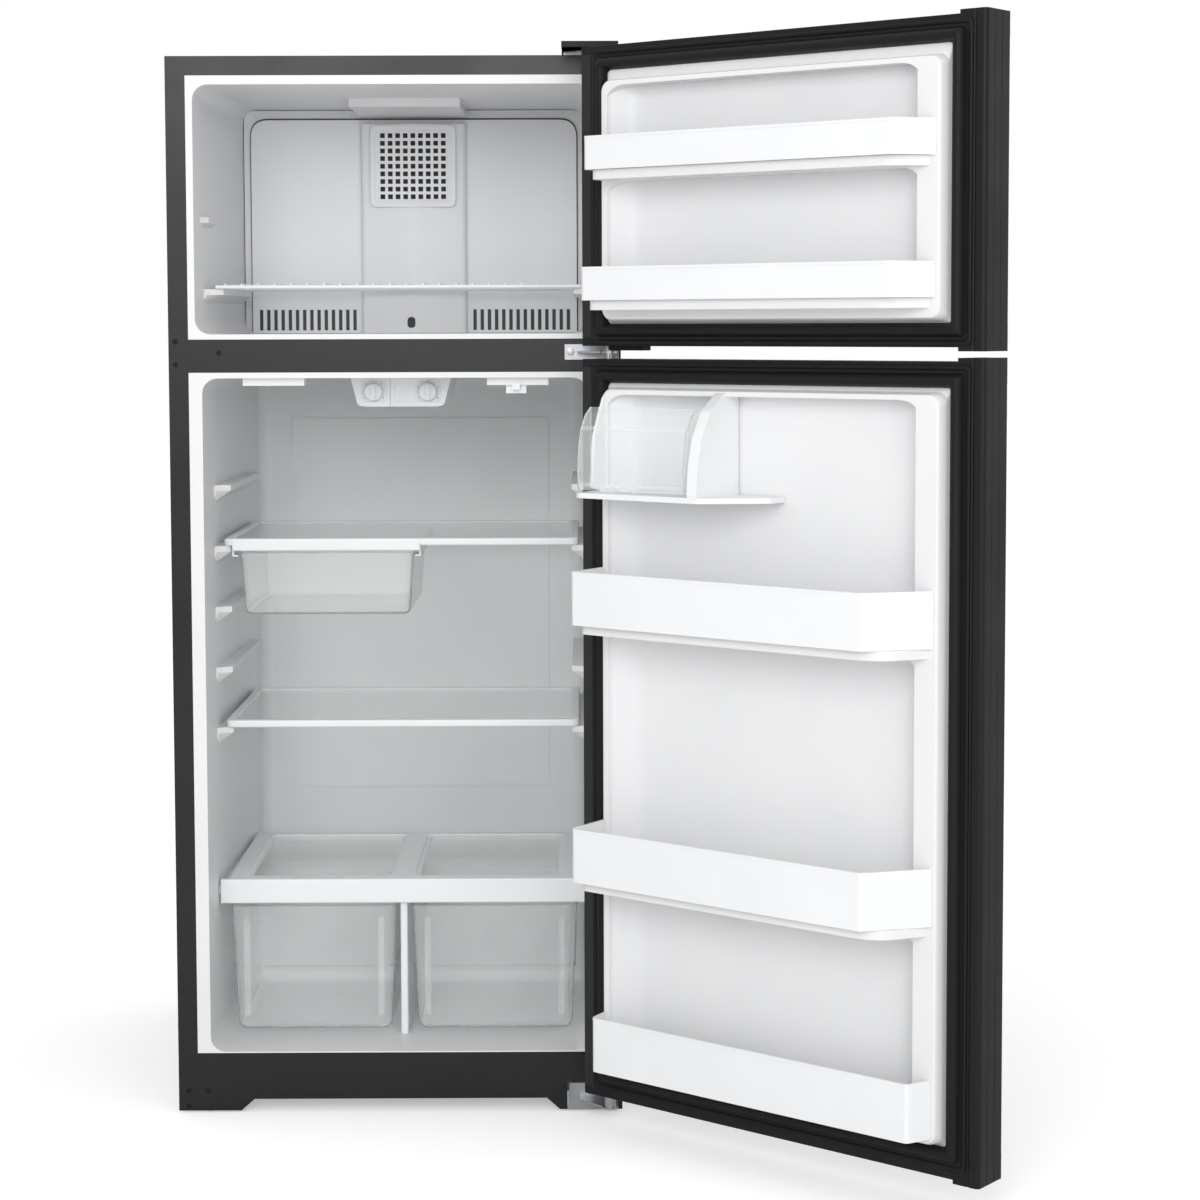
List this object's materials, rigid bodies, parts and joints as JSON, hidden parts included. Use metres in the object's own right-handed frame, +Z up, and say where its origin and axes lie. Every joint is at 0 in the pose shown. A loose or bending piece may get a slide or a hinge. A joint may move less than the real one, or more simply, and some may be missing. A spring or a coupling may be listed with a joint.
{
  "type": "top freezer refrigerator",
  "caption": "Upright top freezer refrigerator with two hinged doors standing open, glass shelves, clear crisper drawers, door bars and a base machine compartment.",
  "frame": {"origin": "on the floor, at the middle of the box round the refrigerator with both doors standing open", "axes": "+Z up, +Y towards the back of the cabinet, +X towards the hinged side"},
  "size_m": [1.239, 1.2122, 1.69],
  "materials": {
    "black_case": "satin black enamel",
    "galvanised_steel": "galvanised sheet",
    "foam": "rigid polyurethane foam",
    "white_liner": "vacuum-formed white sheet",
    "white_plastic": "moulded white plastic",
    "black_plastic": "moulded black plastic",
    "black_gasket": "magnetic gasket",
    "clear_plastic": "clear moulded plastic",
    "shelf_glass": "tempered glass",
    "zinc_steel": "zinc-plated steel",
    "white_wire": "coated steel wire",
    "bare_aluminium": "tube and fins",
    "motor_metal": "black enamel",
    "rubber_part": "moulded rubber",
    "fibre_board": "fibre board"
  },
  "bodies": {
    "root": {"outer_case": "black_case", "rear_panel": "galvanised_steel", "centre_rail": "black_case", "bottom_sheet": "galvanised_steel", "cabinet_foam": "foam", "freezer_liner": "white_liner", "fresh_food_liner": "white_liner", "hinges": "zinc_steel", "hinge_screws_and_plugs": "zinc_steel", "top_hinge_cover": "black_plastic", "crisper_cover_glass": "shelf_glass", "crisper_cover_frame": "white_plastic", "evaporator_cover": "white_liner", "fan_grille": "white_plastic", "evaporator": "bare_aluminium", "control_housing": "white_plastic", "lamp_bulb_and_lens": "shelf_glass", "control_units": "white_plastic", "kick_plate": "black_case", "base_frame": "galvanised_steel", "compressor": "motor_metal", "condenser": "motor_metal", "fan_motors": "motor_metal", "drain_pan": "black_plastic", "machine_cover": "fibre_board", "power_cord_gland": "rubber_part"},
    "dairy_lid": {"dairy_lid": "clear_plastic"},
    "upper_shelf": {"upper_shelf_frame": "white_plastic", "upper_shelf_glass": "shelf_glass", "snack_pan_rails": "white_plastic"},
    "snack_pan": {"snack_pan": "clear_plastic"},
    "lower_shelf": {"lower_shelf_frame": "white_plastic", "lower_shelf_glass": "shelf_glass"},
    "freezer_shelf": {"freezer_shelf": "white_wire"},
    "crisper_left": {"crisper_left": "clear_plastic"},
    "crisper_right": {"crisper_right": "clear_plastic"},
    "freezer_knob": {"freezer_knob": "white_plastic"},
    "fresh_food_knob": {"fresh_food_knob": "white_plastic"},
    "evaporator_fan": {"evaporator_fan_blade": "black_plastic"},
    "condenser_fan": {"condenser_fan_blade": "black_plastic"},
    "switch_plunger": {"door_switch_plunger": "white_plastic"},
    "left_rear_roller": {"left_rear_roller": "black_plastic"},
    "right_rear_roller": {"right_rear_roller": "black_plastic"},
    "left_levelling_leg": {"left_levelling_leg": "zinc_steel"},
    "right_levelling_leg": {"right_levelling_leg": "zinc_steel"},
    "freezer_door": {"freezer_door_skin": "black_case", "freezer_door_handle_trim": "black_plastic", "freezer_door_liner": "white_liner", "freezer_door_foam": "foam", "freezer_door_gasket": "black_gasket", "freezer_door_end_caps": "black_plastic", "freezer_door_bars": "white_plastic"},
    "fresh_food_door": {"fresh_food_door_skin": "black_case", "fresh_food_door_handle_trim": "black_plastic", "fresh_food_door_liner": "white_liner", "fresh_food_door_foam": "foam", "fresh_food_door_gasket": "black_gasket", "fresh_food_door_end_caps": "black_plastic", "fresh_food_door_bars": "white_plastic", "dairy_box": "clear_plastic"}
  },
  "joints": [
    {"name": "freezer_door_hinge", "type": "hinge", "parent": "root", "child": "freezer_door", "pos_m": [0.07053, -0.13093, 1.452], "axis": [0, 0, 1], "range_deg": [-141, 9]},
    {"name": "fresh_food_door_hinge", "type": "hinge", "parent": "root", "child": "fresh_food_door", "pos_m": [0.07053, -0.13093, 0.628], "axis": [0, 0, 1], "range_deg": [-141, 9]},
    {"name": "dairy_lid_hinge", "type": "hinge", "parent": "fresh_food_door", "child": "dairy_lid", "pos_m": [0.05652, -0.24993, 1.134], "axis": [-0.7771, 0.6293, 0], "range_deg": [0, 80]},
    {"name": "upper_shelf_slide", "type": "slide", "parent": "root", "child": "upper_shelf", "axis": [0, -1, 0], "range_m": [0, 0.1]},
    {"name": "snack_pan_slide", "type": "slide", "parent": "upper_shelf", "child": "snack_pan", "axis": [0, -1, 0], "range_m": [0, 0.22]},
    {"name": "lower_shelf_slide", "type": "slide", "parent": "root", "child": "lower_shelf", "axis": [0, -1, 0], "range_m": [0, 0.1]},
    {"name": "freezer_shelf_slide", "type": "slide", "parent": "root", "child": "freezer_shelf", "axis": [0, -1, 0], "range_m": [0, 0.12]},
    {"name": "crisper_left_slide", "type": "slide", "parent": "root", "child": "crisper_left", "axis": [0, -1, 0], "range_m": [0, 0.24]},
    {"name": "crisper_right_slide", "type": "slide", "parent": "root", "child": "crisper_right", "axis": [0, -1, 0], "range_m": [0, 0.24]},
    {"name": "freezer_knob_turn", "type": "hinge", "parent": "root", "child": "freezer_knob", "pos_m": [-0.30847, 0.05107, 1.149], "axis": [0, -1, 0], "range_deg": [-135, 135]},
    {"name": "fresh_food_knob_turn", "type": "hinge", "parent": "root", "child": "fresh_food_knob", "pos_m": [-0.22047, 0.05107, 1.149], "axis": [0, -1, 0], "range_deg": [-135, 135]},
    {"name": "evaporator_fan_spin", "type": "hinge", "parent": "root", "child": "evaporator_fan", "pos_m": [-0.26447, 0.42407, 1.5325], "axis": [0, 1, 0], "continuous": true},
    {"name": "condenser_fan_spin", "type": "hinge", "parent": "root", "child": "condenser_fan", "pos_m": [-0.26447, 0.49407, 0.139], "axis": [0, 1, 0], "continuous": true},
    {"name": "door_switch_press", "type": "slide", "parent": "root", "child": "switch_plunger", "axis": [0, -1, 0], "range_m": [-0.007, 0], "stiffness_N_per_m": 120, "springref_m": 0.003},
    {"name": "left_rear_roller_spin", "type": "hinge", "parent": "root", "child": "left_rear_roller", "pos_m": [-0.56447, 0.54107, 0.013], "axis": [1, 0, 0], "continuous": true},
    {"name": "left_levelling_leg_turn", "type": "hinge", "parent": "root", "child": "left_levelling_leg", "pos_m": [-0.56947, -0.04993, 0.008], "axis": [0, 0, 1], "continuous": true},
    {"name": "right_rear_roller_spin", "type": "hinge", "parent": "root", "child": "right_rear_roller", "pos_m": [0.03553, 0.54107, 0.013], "axis": [1, 0, 0], "continuous": true},
    {"name": "right_levelling_leg_turn", "type": "hinge", "parent": "root", "child": "right_levelling_leg", "pos_m": [0.04053, -0.04993, 0.008], "axis": [0, 0, 1], "continuous": true}
  ]
}
